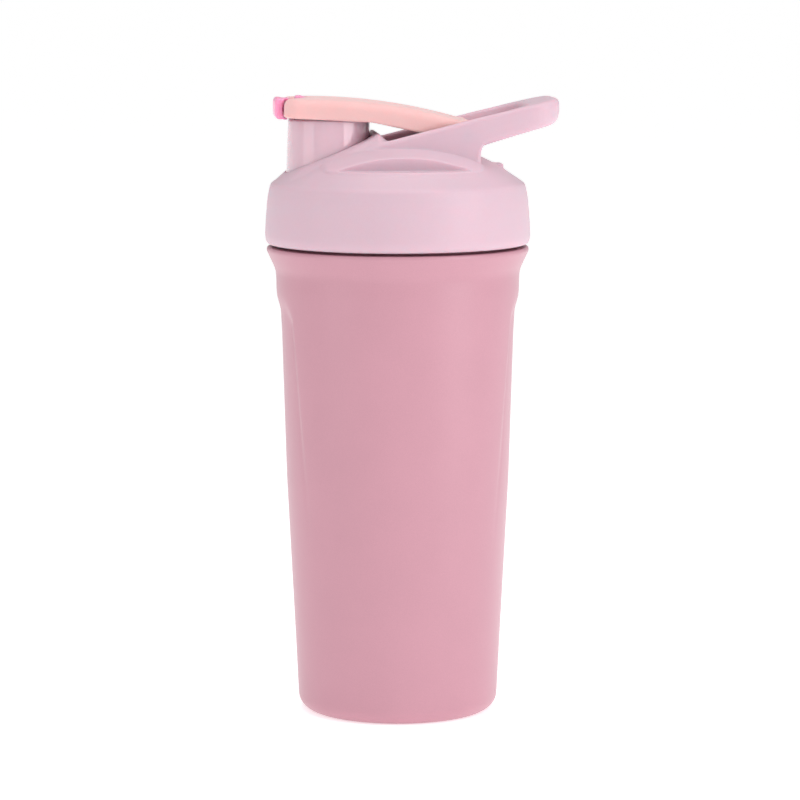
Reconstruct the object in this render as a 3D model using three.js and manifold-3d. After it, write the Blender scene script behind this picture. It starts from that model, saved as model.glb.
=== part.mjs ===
// Insulated steel protein shaker with a screw lid, a push-button flip cap and a fixed carry loop.
// Millimetres, +Z up. The origin is on the bottle's axis, on the surface that it stands on.
// The spout is on the -X side and the carry loop on the +X side.
import * as THREE from "three";
import { mergeVertices } from "three/addons/utils/BufferGeometryUtils.js";
import Module from "manifold-3d";

const wasm = await Module();
wasm.setup();

// ---- driving dimensions -----------------------------------------------------------------------

const GAP = 0.3; // what two pieces that touch leave between their solids
const ROUND = 60; // sides of the large round pieces

const BASE = { radius: 37.5, corner: 6, ringInner: 27.5 };
const BODY = { topRadius: 45.4, topZ: 160, wall: 0.6 };
const COLLAR = { radius: 45.7, z: 166.6 };
const RIM = { radius: 49.1, z: 174.1, top: 175.3 };
const NECK = { radius: 43, top: 193.6 };
const LINER = { vacuumGap: 2.6, wall: 0.5, floorZ: 5.2, corner: 8, neckRadius: 42, top: 194.8 };
const GRIP = { depth: 1.2, top: 158, full: 150.8, fade: 74, bottom: 62 };

const PITCH = 5.5; // of the lid's thread
const THREAD = { turns: 1.5, startZ: 180.2, neckHeight: 1.3, lidHeight: 1.4, foot: 2.4, crest: 1.2 };

const SKIRT = { bottom: 176.3, radius: 49.6, crownRadius: 47.4, crownZ: 198.6, innerRadius: 46.75 };
const CORE = { outer: 46.4, root: 44.9, bottom: 177.6, deckLow: 196.8, deckTop: 198.4 };
const SPOUT = { x: -25.7, bore: 13.3, top: 15.3, foot: 15.9, z: 222.8 };
const RECESS = { y: 30, z: 205 }; // the flat ledge cut into each side of the dome

const LOOP = { halfWidth: 22, inner: 17.8, end: 59.7, openingEnd: 47, corner: 13, webEnd: 28.9 };
const HINGE = { x: 24, z: 217.2, pin: 1.2, barrel: 3.2, halfLength: 20.3 };
const CAP = { nose: -42.8, noseCorner: 7, halfWidth: 17, skin: 1.5, tail: 5.4 };
const BUTTON = { front: -46.1, back: -42.4, low: 222.9, high: 231, halfWidth: 9.5 };
const ROCKER = { x: -41.2, z: 227, pin: 0.8, halfLength: 11.2 };
const LOCK = { front: -38.4, back: -34.4, halfWidth: 3.6, travel: 2 };
const WHISK = { radius: 24, wire: 1, turns: 5.5 };

const COLOUR = {
  body: 0xd79ca9,
  lid: 0xe0c4d0,
  core: 0xd5b3bf,
  cap: 0xf2c8c6,
  accent: 0xea80a8,
  steel: 0xc9c9cc,
  silicone: 0xe9e6e4,
};

// ---- shape helpers ----------------------------------------------------------------------------

// A three.js geometry as a manifold-3d solid.
function solid(geometry) {
  const bare = geometry.clone();
  bare.deleteAttribute("normal");
  bare.deleteAttribute("uv");
  const merged = mergeVertices(bare, 1e-4);
  const index = merged.index.array;
  const kept = [];
  for (let i = 0; i < index.length; i += 3) {
    const [a, b, c] = index.slice(i, i + 3);
    if (a !== b && b !== c && c !== a) kept.push(a, b, c);
  }
  return new wasm.Manifold(
    new wasm.Mesh({
      numProp: 3,
      vertProperties: new Float32Array(merged.attributes.position.array),
      triVerts: new Uint32Array(kept),
    }),
  );
}

// A manifold-3d solid as a three.js geometry.
function geometryOf(shape) {
  const mesh = shape.simplify(0.02).getMesh();
  const geometry = new THREE.BufferGeometry();
  geometry.setAttribute("position", new THREE.BufferAttribute(mesh.vertProperties, 3));
  geometry.setIndex(new THREE.BufferAttribute(mesh.triVerts, 1));
  geometry.computeVertexNormals();
  return geometry;
}

// A profile of [radius, z] points turned about the Z axis through (x, 0). Listed anticlockwise.
function turned(profile, sides = ROUND, x = 0) {
  const points = profile.map(([radius, z]) => new THREE.Vector2(radius, z));
  const onAxis = points[0].x === 0 && points.at(-1).x === 0;
  if (!onAxis) points.push(points[0].clone());
  return new THREE.LatheGeometry(points, sides).rotateX(Math.PI / 2).translate(x, 0, 0);
}

// Points on an arc about (cx, cz), from one angle in degrees to another.
function arc(cx, cz, radius, from, to, steps) {
  return Array.from({ length: steps + 1 }, (_, i) => {
    const a = THREE.MathUtils.degToRad(from + ((to - from) * i) / steps);
    return [cx + radius * Math.cos(a), cz + radius * Math.sin(a)];
  });
}

// A closed outline of [x, y] or [x, y, cornerRadius] points.
function outline(points) {
  const shape = new THREE.Shape();
  points.forEach(([x, y, radius = 0], i) => {
    const here = new THREE.Vector2(x, y);
    const toward = (other) => {
      const step = new THREE.Vector2(other[0], other[1]).sub(here);
      return here.clone().add(step.setLength(Math.min(radius, step.length() / 2)));
    };
    const a = toward(points.at(i - 1));
    const b = toward(points[(i + 1) % points.length]);
    if (i) shape.lineTo(a.x, a.y);
    else shape.moveTo(a.x, a.y);
    if (radius) shape.quadraticCurveTo(x, y, b.x, b.y);
  });
  shape.closePath();
  return shape;
}

// A side-view outline (X, Z) made |Y| <= halfWidth thick, with its long edges rounded by bevel.
function slab(points, halfWidth, bevel = 0, y = 0) {
  const geometry = new THREE.ExtrudeGeometry(outline(points), {
    depth: 2 * (halfWidth - bevel),
    curveSegments: 4,
    bevelEnabled: bevel > 0,
    bevelThickness: bevel,
    bevelSize: bevel,
    bevelOffset: -bevel,
    bevelSegments: 2,
  });
  return solid(geometry.rotateX(Math.PI / 2).translate(0, y + halfWidth - bevel, 0));
}

// A plan-view outline (X, Y) made solid from z = low to z = high.
function plate(points, low, high) {
  const options = { depth: high - low, curveSegments: 8, bevelEnabled: false };
  return solid(new THREE.ExtrudeGeometry(outline(points), options).translate(0, 0, low));
}

function block(x0, x1, halfY, z0, z1, y = 0) {
  const box = new THREE.BoxGeometry(x1 - x0, 2 * halfY, z1 - z0);
  return solid(box.translate((x0 + x1) / 2, y, (z0 + z1) / 2));
}

// A round bar along Y.
function crossBar(x, z, radius, halfLength, sides = 20, y = 0) {
  const bar = new THREE.CylinderGeometry(radius, radius, 2 * halfLength, sides);
  return solid(bar.translate(x, y, z));
}

// A round wire along a curve.
function wire(curve, radius, steps, sides = 6) {
  const ring = arc(0, 0, radius, 0, 360 - 360 / sides, sides - 1);
  return new THREE.ExtrudeGeometry(outline(ring), { steps, extrudePath: curve });
}

class PathByRule extends THREE.Curve {
  constructor(rule) {
    super();
    this.rule = rule;
  }
  getPoint(t, target = new THREE.Vector3()) {
    return target.set(...this.rule(t));
  }
}

// A right-handed thread: a trapezium swept along a helix, sunk into its wall, with tapered ends.
function thread(wallRadius, height, startZ) {
  const perTurn = 30;
  const steps = Math.round(THREAD.turns * perTurn);
  const sunk = -Math.sign(height) * 0.25;
  const positions = [];
  for (let i = 0; i <= steps; i++) {
    const angle = (2 * Math.PI * i) / perTurn;
    const z = startZ + (PITCH * i) / perTurn;
    const ends = Math.min(1, Math.min(i, steps - i) / 4);
    const rise = height * (0.15 + 0.85 * ends);
    const section = [
      [sunk, -THREAD.foot / 2],
      [rise, -THREAD.crest / 2],
      [rise, THREAD.crest / 2],
      [sunk, THREAD.foot / 2],
    ];
    for (const [out, up] of section) {
      const r = wallRadius + out;
      positions.push(r * Math.cos(angle), r * Math.sin(angle), z + up);
    }
  }
  const index = [];
  const quad = (a, b, c, d) => index.push(a, b, c, a, c, d);
  for (let i = 0; i < steps; i++)
    for (let k = 0; k < 4; k++) {
      const a = 4 * i + k;
      const b = 4 * i + ((k + 1) % 4);
      if (height > 0) quad(a, a + 4, b + 4, b);
      else quad(a, b, b + 4, a + 4);
    }
  const last = 4 * steps;
  if (height > 0) {
    quad(0, 1, 2, 3);
    quad(last, last + 3, last + 2, last + 1);
  } else {
    quad(0, 3, 2, 1);
    quad(last, last + 1, last + 2, last + 3);
  }
  const geometry = new THREE.BufferGeometry();
  geometry.setAttribute("position", new THREE.Float32BufferAttribute(positions, 3));
  geometry.setIndex(index);
  return solid(geometry);
}

const shaker = new THREE.Group();

function piece(name, shape, colour, roughness, metalness = 0) {
  const geometry = shape.isBufferGeometry ? shape : geometryOf(shape);
  const mesh = new THREE.Mesh(
    geometry,
    new THREE.MeshStandardMaterial({ color: colour, roughness, metalness }),
  );
  mesh.name = name;
  shaker.add(mesh);
}

// ---- bottle -----------------------------------------------------------------------------------

const bodySlope = (BODY.topRadius - BASE.radius) / (BODY.topZ - BASE.corner);
const bodyRadius = (z) => BASE.radius + bodySlope * (z - BASE.corner);

// How far the two grip panels, facing +X and -X, sink the steel at height z and angle from X.
function gripDepth(x, y, z) {
  const angle = THREE.MathUtils.radToDeg(Math.atan2(Math.abs(y), Math.abs(x)));
  const down = (GRIP.full - z) / (GRIP.full - GRIP.fade);
  const halfAngle = 24 + 9 * THREE.MathUtils.clamp(down, 0, 1);
  const across = THREE.MathUtils.smoothstep(halfAngle + 1.5 - angle, 0, 4);
  const top = THREE.MathUtils.smoothstep(GRIP.top - z, 0, GRIP.top - GRIP.full);
  return GRIP.depth * across * top * THREE.MathUtils.clamp(1 - down, 0, 1);
}

function outerShell() {
  const { wall } = BODY;
  const gripTop = (GRIP.full + GRIP.top) / 2;
  const outside = [GRIP.bottom, GRIP.fade, 112, GRIP.full, gripTop, GRIP.top].map((z) => [
    bodyRadius(z),
    z,
  ]);
  const inside = outside.map(([r, z]) => [r - wall, z]).reverse();
  const profile = [
    [BASE.ringInner, 0],
    ...arc(BASE.radius - BASE.corner, BASE.corner, BASE.corner, -90, 0, 4),
    ...outside,
    [COLLAR.radius, COLLAR.z],
    [RIM.radius, RIM.z],
    [RIM.radius - 0.35, RIM.top - 0.35],
    [RIM.radius - 1.2, RIM.top],
    [NECK.radius + 0.8, RIM.top],
    [NECK.radius, RIM.top + 0.8],
    [NECK.radius, NECK.top],
    [NECK.radius - wall, NECK.top],
    [NECK.radius - wall, RIM.top - wall],
    [RIM.radius - 1.6, RIM.top - wall],
    [COLLAR.radius - wall, COLLAR.z + 0.3],
    ...inside,
    ...arc(BASE.radius - BASE.corner, BASE.corner, BASE.corner - wall, 0, -90, 3),
    [BASE.ringInner, wall],
  ];
  const geometry = turned(profile);
  const place = geometry.attributes.position;
  for (let i = 0; i < place.count; i++) {
    const [x, y, z] = [place.getX(i), place.getY(i), place.getZ(i)];
    if (z < GRIP.bottom || z > GRIP.top) continue;
    const r = Math.hypot(x, y);
    const scale = (r - gripDepth(x, y, z)) / r;
    place.setXY(i, x * scale, y * scale);
  }
  return solid(geometry).add(thread(NECK.radius, THREAD.neckHeight, THREAD.startZ));
}

function innerLiner() {
  const inset = BODY.wall + LINER.vacuumGap;
  const topRadius = bodyRadius(BODY.topZ) - inset;
  const footRadius = bodyRadius(LINER.floorZ + LINER.corner) - inset;
  const { wall, floorZ, corner, neckRadius, top } = LINER;
  const profile = [
    [0, floorZ],
    ...arc(footRadius - corner, floorZ + corner, corner, -90, 0, 3),
    [topRadius, BODY.topZ],
    [neckRadius, BODY.topZ + 7],
    [neckRadius, NECK.top + GAP],
    [NECK.radius - 0.1, NECK.top + GAP],
    [NECK.radius, top - 0.3],
    [NECK.radius - 0.3, top],
    [neckRadius - 0.3, top],
    [neckRadius - wall, top - 0.5],
    [neckRadius - wall, BODY.topZ + 7],
    [topRadius - wall, BODY.topZ],
    ...arc(footRadius - corner, floorZ + corner, corner - wall, 0, -90, 3),
    [0, floorZ + wall],
  ];
  return turned(profile, 48);
}

piece("outer_shell", outerShell(), COLOUR.body, 0.42, 0.1);
piece("inner_liner", innerLiner(), COLOUR.steel, 0.3, 1);
piece(
  "bottom_plate",
  turned(
    [
      [0, 3],
      [5, 3],
      [6, 2],
      [BASE.ringInner - GAP, 2],
      [BASE.ringInner - GAP, 2.8],
      [6.4, 2.8],
      [5.2, 3.8],
      [0, 3.8],
    ],
    36,
  ),
  COLOUR.steel,
  0.35,
  1,
);
piece(
  "vacuum_seal_bead",
  turned([[0, 2], [2.2, 2.2], [2.6, 2.6], [0, 2.7]], 16),
  0x8f8f88,
  0.3,
);
piece(
  "getter_disc",
  turned([[0, 3.1], [5, 3.1], [5, 4.6], [0, 4.6]], 20, 15),
  COLOUR.steel,
  0.5,
  1,
);
piece(
  "base_pad",
  turned(
    [
      [0, 0],
      [BASE.ringInner - 1, 0],
      [BASE.ringInner - GAP, 0.7],
      [BASE.ringInner - GAP, 1.7],
      [0, 1.7],
    ],
    36,
  ),
  COLOUR.body,
  0.7,
);

// ---- whisk ------------------------------------------------------------------------------------

// One wire wound into a ball, from pole to pole, lying on the liner's floor.
const whiskCentre = LINER.floorZ + LINER.wall + WHISK.radius + WHISK.wire + 0.5;
const whiskPath = new PathByRule((t) => {
  const fromPole = Math.PI * (0.1 + 0.8 * t);
  const turn = 2 * Math.PI * WHISK.turns * t;
  const r = WHISK.radius * Math.sin(fromPole);
  return [
    r * Math.cos(turn),
    r * Math.sin(turn),
    whiskCentre - WHISK.radius * Math.cos(fromPole),
  ];
});
piece("whisk_ball", wire(whiskPath, WHISK.wire, 100), COLOUR.steel, 0.2, 1);

// ---- lid --------------------------------------------------------------------------------------

const domeOutside = [
  [38.2, 205],
  [29.4, 209.5],
  [20, 212.4],
  [10, 214],
  [0, 214.5],
];
const domeInside = domeOutside.map(([r, z]) => [r ? r - 0.6 : 0, z - 2]).reverse();

// The side view of the two rails and the loop's end, from the front of the dome round to its back.
const railSide = [
  [-36, 196],
  [-29.5, 205.2],
  [-6.7, 215.1],
  [29, 224.1],
  [60.2, 231.3, 4],
  [59.6, 222, 4],
  [46.3, 218.9, 3],
  [LOOP.webEnd, 213.2, 3],
  [LOOP.webEnd, 196],
];

// The side view of the wedge that the spout stands in, low at the front and high behind the spout.
const wedgeSide = [
  [-50, 194],
  [-46.5, 201.1],
  [-11.5, 216.1],
  [-8, 217.8],
  [-4.6, 213],
  [-4, 194],
];

function lidShell() {
  const skirt = [
    [SKIRT.innerRadius, SKIRT.bottom],
    [SKIRT.radius - 1.5, SKIRT.bottom],
    [SKIRT.radius - 0.5, SKIRT.bottom + 0.6],
    [SKIRT.radius, 179],
    [49.3, 185.3],
    [48.6, 193.5],
    [48, 196.5],
    [SKIRT.crownRadius, SKIRT.crownZ - 0.2],
    [SKIRT.crownRadius - 1, SKIRT.crownZ + 0.5],
  ];
  const outside = [[0, SKIRT.bottom], ...skirt.slice(1), ...domeOutside];
  const inside = [
    [0, SKIRT.bottom - 1],
    [SKIRT.innerRadius, SKIRT.bottom - 1],
    [SKIRT.innerRadius, 196.6],
    [44.6, 198.9],
    ...domeInside.toReversed(),
  ];
  const loopPlan = plate(
    [
      [-40, -LOOP.halfWidth],
      [LOOP.end, -LOOP.halfWidth, LOOP.corner],
      [LOOP.end, LOOP.halfWidth, LOOP.corner],
      [-40, LOOP.halfWidth],
    ],
    190,
    240,
  );
  const opening = plate(
    [
      [-5.5, -LOOP.inner],
      [LOOP.openingEnd, -LOOP.inner, 9],
      [LOOP.openingEnd, LOOP.inner, 9],
      [-5.5, LOOP.inner],
    ],
    190,
    240,
  );
  const rails = slab(railSide, LOOP.halfWidth, 1.4).intersect(loopPlan).subtract(opening);
  const domeReach = new THREE.CylinderGeometry(43.5, 43.5, 60, ROUND).rotateX(Math.PI / 2);
  const wedge = slab(wedgeSide, LOOP.inner + 1, 2).intersect(solid(domeReach.translate(0, 0, 220)));
  const ventBoss = block(35, 39.3, 4, 203, 206.1);
  const dome = solid(turned(outside));
  let shell = dome.add(rails).add(wedge).add(ventBoss).subtract(solid(turned(inside)));
  for (const side of [-1, 1]) {
    const pan = block(-27, 27, 5, RECESS.z - 1.8, 210, side * (RECESS.y + 3.2));
    const cut = block(-60, 60, 15, RECESS.z, 216, side * (RECESS.y + 15));
    shell = shell.add(pan.intersect(dome)).subtract(cut);
  }
  const spoutHole = new THREE.CylinderGeometry(SPOUT.foot + GAP, SPOUT.foot + GAP, 40, 40);
  shell = shell.subtract(solid(spoutHole.rotateX(Math.PI / 2).translate(SPOUT.x, 0, 215)));
  const pinHole = crossBar(HINGE.x, HINGE.z, HINGE.pin + GAP, HINGE.halfLength + GAP);
  return shell.subtract(pinHole);
}

// The threaded inner moulding with the spout on its deck.
function lidCore() {
  const cupSide = [
    [0, CORE.deckLow],
    [40.2, CORE.deckLow],
    [40.2, 195.7],
    [40.6, 195.7],
    [40.6, CORE.deckLow - 0.1],
    [CORE.root, CORE.deckLow - 0.1],
    [CORE.root, CORE.bottom],
    [CORE.outer, CORE.bottom],
    [CORE.outer, 196.4],
    [44.2, CORE.deckTop],
    [0, CORE.deckTop],
  ];
  const tube = turned(
    [
      [0, CORE.deckLow + 0.4],
      [SPOUT.foot, CORE.deckLow + 0.4],
      [SPOUT.foot, 204],
      [SPOUT.top, SPOUT.z - 1],
      [SPOUT.top - 0.3, SPOUT.z - 0.3],
      [SPOUT.top - 1, SPOUT.z],
      [0, SPOUT.z],
    ],
    40,
    SPOUT.x,
  );
  const bore = turned(
    [
      [0, 190],
      [SPOUT.bore, 190],
      [SPOUT.bore, SPOUT.z - 0.6],
      [SPOUT.bore + 0.5, SPOUT.z + 1],
      [0, SPOUT.z + 1],
    ],
    40,
    SPOUT.x,
  );
  // The tab on the rim's front that the button's tooth catches under.
  const front = SPOUT.x - SPOUT.top;
  const catchTab = slab(
    [
      [front + 1.6, 221.6],
      [front + 1.6, 224.9],
      [front - 0.7, 224.9],
      [front - 0.7, 224.3],
      [front + 0.1, 223.9],
      [front + 0.1, 221.6],
    ],
    3,
  );
  return solid(turned(cupSide, 48))
    .add(solid(tube))
    .subtract(solid(bore))
    .add(catchTab)
    .add(thread(CORE.root, -THREAD.lidHeight, THREAD.startZ - PITCH / 2));
}

piece("lid_shell", lidShell(), COLOUR.lid, 0.45);
piece("lid_core", lidCore(), COLOUR.core, 0.15);
piece(
  "lid_gasket",
  turned(
    [
      [40.9, LINER.top + GAP],
      [44.3, LINER.top + GAP],
      [44.3, CORE.deckLow - 0.1 - GAP],
      [40.9, CORE.deckLow - 0.1 - GAP],
    ],
    48,
  ),
  COLOUR.silicone,
  0.6,
);
piece(
  "hinge_pin",
  crossBar(HINGE.x, HINGE.z, HINGE.pin, HINGE.halfLength, 16),
  COLOUR.steel,
  0.25,
  1,
);

// A torsion spring round the hinge pin, with one leg on the dome and one under the cap.
function torsionSpring(centre, radius, halfSpan, turns, legs) {
  const [lowLeg, highLeg] = legs;
  return new PathByRule((t) => {
    const u = THREE.MathUtils.clamp((t - 0.1) / 0.8, 0, 1);
    const leg = t < 0.1 ? (0.1 - t) / 0.1 : t > 0.9 ? (t - 0.9) / 0.1 : 0;
    const reach = t < 0.5 ? lowLeg : highLeg;
    const angle = 2 * Math.PI * turns * u - Math.PI / 2;
    return [
      centre.x + radius * Math.cos(angle) - reach * leg,
      -halfSpan + 2 * halfSpan * u,
      centre.z + radius * Math.sin(angle) - 0.12 * reach * leg,
    ];
  });
}
piece(
  "cap_spring",
  wire(torsionSpring(HINGE, 2, 2.6, 4.5, [6, 7]), 0.35, 64),
  COLOUR.steel,
  0.25,
  1,
);

// ---- flip cap ---------------------------------------------------------------------------------

// The cap's top line, an arc in the side view; height(x) gives it at any X from nose to hinge.
const CAP_ARC = { radius: 205, x: -34, z: 231.2 };
const capTop = (x) =>
  CAP_ARC.z - CAP_ARC.radius + Math.sqrt(CAP_ARC.radius ** 2 - (x - CAP_ARC.x) ** 2);
const capUnder = (x) => 222.05 - (x < -10.5 ? 0.052 : 0.22) * (x + 10.5);

// The cap's side view between two lines that follow its top and its underside. The front of its
// top is rounded.
function capSide(from, to, sink, lift) {
  const steps = 12;
  const along = (i) => from + ((to - from) * i) / steps;
  const count = Array.from({ length: steps + 1 }, (_, i) => i);
  const over = count.map((i) => [along(i), capTop(along(i)) - sink, i ? 0 : 2]);
  const under = [from, -10.5, to].map((x) => [x, capUnder(x) + lift]);
  return [...under, ...over.reverse()];
}

// The cap's plan drawn in by inset: a flat nose with rounded corners, and straight sides.
function capPlan(inset, end) {
  const front = CAP.nose + inset;
  const half = CAP.halfWidth - inset;
  const corner = CAP.noseCorner - inset;
  const shape = [[end, -half], [end, half], [front, half, corner], [front, -half, corner]];
  return plate(shape, 190, 250);
}

const tailBar = (radius, halfLength) => crossBar(HINGE.x, HINGE.z, radius, halfLength, 28);
const coilRoom = block(HINGE.x - 8.5, HINGE.x + 7, 4, HINGE.z - 7, HINGE.z + 3.1);

function flipCap() {
  const outer = slab(capSide(CAP.nose, HINGE.x, 0, 0), CAP.halfWidth, 1.2)
    .intersect(capPlan(0, HINGE.x))
    .add(tailBar(CAP.tail, CAP.halfWidth).subtract(block(0, HINGE.x, 20, 200, 240)));
  const inside = HINGE.x - 0.5;
  const hollow = slab(capSide(CAP.nose + CAP.skin, inside, CAP.skin, -6), CAP.halfWidth)
    .intersect(capPlan(CAP.skin, inside));
  const lugs = block(-41.5, -39.8, 11.8, 225.4, 228.6);
  const barrelRoom = tailBar(HINGE.barrel + GAP, CAP.halfWidth - CAP.skin);
  const tailMouth = block(HINGE.x - 1, HINGE.x + HINGE.barrel + GAP, 15.5, 205, HINGE.z);
  const buttonNotch = block(-46, -38.9, BUTTON.halfWidth + GAP, 221, 229.1);
  const faceNotch = block(-46, ROCKER.x + 0.1, BUTTON.halfWidth + GAP, 228, 233);
  const tongueNotch = block(-46, -39.2, 4.2, 228, 233);
  const springNotch = block(HINGE.x, HINGE.x + 8, 4, 205, HINGE.z + 0.5);
  const pinEars = crossBar(ROCKER.x, ROCKER.z, ROCKER.pin + 0.15, ROCKER.halfLength + GAP, 12);
  const deck = capTop(LOCK.front) - 1.1;
  const slot = block(-39.5, LOCK.back + GAP, LOCK.halfWidth + GAP, deck, 234);
  const legSlot = block(LOCK.front - LOCK.travel, LOCK.back - 0.7, 1.5, 227, 232);
  return outer
    .subtract(hollow)
    .add(lugs)
    .subtract(barrelRoom)
    .subtract(tailBar(HINGE.pin + GAP, 20))
    .subtract(tailMouth)
    .subtract(springNotch)
    .subtract(buttonNotch)
    .subtract(faceNotch)
    .subtract(tongueNotch)
    .subtract(pinEars)
    .subtract(slot)
    .subtract(legSlot);
}

// The inner panel that closes the cap from below, with the hinge barrels at its tail.
function capInner() {
  const fit = CAP.skin + GAP;
  const end = HINGE.x - 1;
  const band = slab(capSide(-36, end, 4.6, 0.4), CAP.halfWidth).intersect(capPlan(fit, end));
  const sealRoom = turned([[0, 200], [13, 200], [13, 225.6], [0, 225.6]], 32, SPOUT.x);
  const rimRoom = turned([[0, 200], [15.7, 200], [15.7, 223.4], [0, 223.4]], 32, SPOUT.x);
  return band
    .add(tailBar(HINGE.barrel, CAP.halfWidth - fit))
    .subtract(solid(sealRoom))
    .subtract(solid(rimRoom))
    .subtract(coilRoom)
    .subtract(tailBar(HINGE.pin + GAP, 20));
}

piece("flip_cap", flipCap(), COLOUR.cap, 0.6);
piece("cap_inner", capInner(), COLOUR.core, 0.35);
piece(
  "spout_seal",
  turned(
    [
      [0, 220.6],
      [11.6, 220.6],
      [12.5, 221.4],
      [12.5, 223.1],
      [12.7, 223.1],
      [12.7, 225.3],
      [0, 225.3],
    ],
    32,
    SPOUT.x,
  ),
  COLOUR.silicone,
  0.6,
);

function releaseButton() {
  const { front, back, low, high, halfWidth } = BUTTON;
  const face = slab(
    [
      [front, low, 1.8],
      [back, low],
      [back, high],
      [front, high, 1.8],
    ],
    halfWidth,
    0.8,
  );
  const tongue = block(back - 1, -40.6, 3.6, high - 1.5, high - 0.4);
  const stem = block(back - 0.5, ROCKER.x + 1.5, 4.4, ROCKER.z - 1.5, ROCKER.z + 1.5);
  const tooth = block(back - 0.5, ROCKER.x, 2.6, 222.6, 223.4);
  const pinHole = crossBar(ROCKER.x, ROCKER.z, ROCKER.pin + 0.15, 12, 12);
  const coil = block(ROCKER.x - 1.9, ROCKER.x + 3, 2.1, ROCKER.z - 2, ROCKER.z + 2.1);
  return face.add(tongue).add(stem).add(tooth).subtract(pinHole).subtract(coil);
}

function lockSlider() {
  const top = capTop(LOCK.front);
  const { front, back, halfWidth } = LOCK;
  const base = block(front, back, halfWidth, top - 0.9, top - 0.1);
  const nub = slab(
    [
      [front, top - 0.6],
      [front + 3, top - 0.6],
      [front + 2.6, top + 0.4, 0.4],
      [front + 0.5, top + 0.4, 0.4],
    ],
    3,
    0.3,
  );
  const leg = block(front + 0.4, back - 1, 1.2, top - 2.6, top - 0.5);
  return base.add(nub).add(leg);
}

piece("release_button", releaseButton(), COLOUR.accent, 0.35);
piece(
  "button_pin",
  crossBar(ROCKER.x, ROCKER.z, ROCKER.pin, ROCKER.halfLength, 12),
  COLOUR.steel,
  0.25,
  1,
);
piece("lock_slider", lockSlider(), COLOUR.accent, 0.35);
piece(
  "button_spring",
  wire(torsionSpring(ROCKER, 1.35, 1.6, 3.5, [-0.4, -0.4]), 0.2, 40, 5),
  COLOUR.steel,
  0.25,
  1,
);

export default shaker;
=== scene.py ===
"""Protein shaker bottle: the visible pieces, their materials, and a pale studio around them.

Shapes are worked out in millimetres in the CAD model's frame: +Z up, spout towards -X, carry loop
towards +X. Blender's objects are in metres.
"""

import math
from itertools import product

import bmesh
import bpy
import numpy as np
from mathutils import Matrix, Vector


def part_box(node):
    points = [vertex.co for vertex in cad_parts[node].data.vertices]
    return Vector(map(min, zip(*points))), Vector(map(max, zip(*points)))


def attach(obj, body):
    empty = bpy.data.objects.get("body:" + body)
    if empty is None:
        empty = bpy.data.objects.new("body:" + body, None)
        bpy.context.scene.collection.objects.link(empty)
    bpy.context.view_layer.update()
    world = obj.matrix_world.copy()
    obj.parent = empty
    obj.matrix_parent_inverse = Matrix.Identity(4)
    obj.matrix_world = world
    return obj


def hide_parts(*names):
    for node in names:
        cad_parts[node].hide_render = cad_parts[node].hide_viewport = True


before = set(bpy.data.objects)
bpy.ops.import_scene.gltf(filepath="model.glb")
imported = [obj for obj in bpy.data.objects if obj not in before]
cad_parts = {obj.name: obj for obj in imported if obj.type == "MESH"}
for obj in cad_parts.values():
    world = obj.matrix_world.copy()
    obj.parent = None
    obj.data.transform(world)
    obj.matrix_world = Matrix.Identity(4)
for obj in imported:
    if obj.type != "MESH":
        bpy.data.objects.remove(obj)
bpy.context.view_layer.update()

MM = 0.001
GAP = 0.3  # between pieces that touch


def low_high(node):
    """A CAD node's lowest and highest corners, in millimetres."""
    low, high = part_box(node)
    return np.array(low) / MM, np.array(high) / MM


def middle_of(node):
    """The middle of a CAD node's box, in millimetres."""
    low, high = low_high(node)
    return (low + high) / 2


# ---- driving dimensions, taken from the frame -------------------------------------------------

shell_high = low_high("outer_shell")[1]
lid_low, lid_high = low_high("lid_shell")
button_low, button_high = low_high("release_button")

RIM_R, NECK_TOP = shell_high[0], shell_high[2]
NECK_R = 43.0
LINER_TOP = low_high("inner_liner")[1][2]
SKIRT_R, SKIRT_Z = lid_high[1], lid_low[2]
LOOP_END = lid_high[0]
SPOUT_X = middle_of("spout_seal")[0]
SPOUT_Z = 222.8
HINGE_X, _, HINGE_Z = middle_of("hinge_pin")
ROCKER_X, _, ROCKER_Z = middle_of("button_pin")
ROCKER_HALF = low_high("button_pin")[1][1]
WHISK_Z = middle_of("whisk_ball")[2]
RAIL_Y = 22.0  # outer faces of the carry loop's rails
RAIL_INNER = 17.8
RECESS_Y, RECESS_Z = 30.2, 205.0  # the dome's side recesses: wall and floor
PITCH = 5.5
THREAD_Z = 180.2
THREAD_TURNS = 1.5


# ---- colours and materials --------------------------------------------------------------------


def linear(hex_colour):
    """An sRGB colour such as 0xD79CA9 as linear RGBA."""
    parts = [(hex_colour >> shift & 255) / 255 for shift in (16, 8, 0)]
    return [c / 12.92 if c <= 0.04045 else ((c + 0.055) / 1.055) ** 2.4 for c in parts] + [1]


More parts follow.
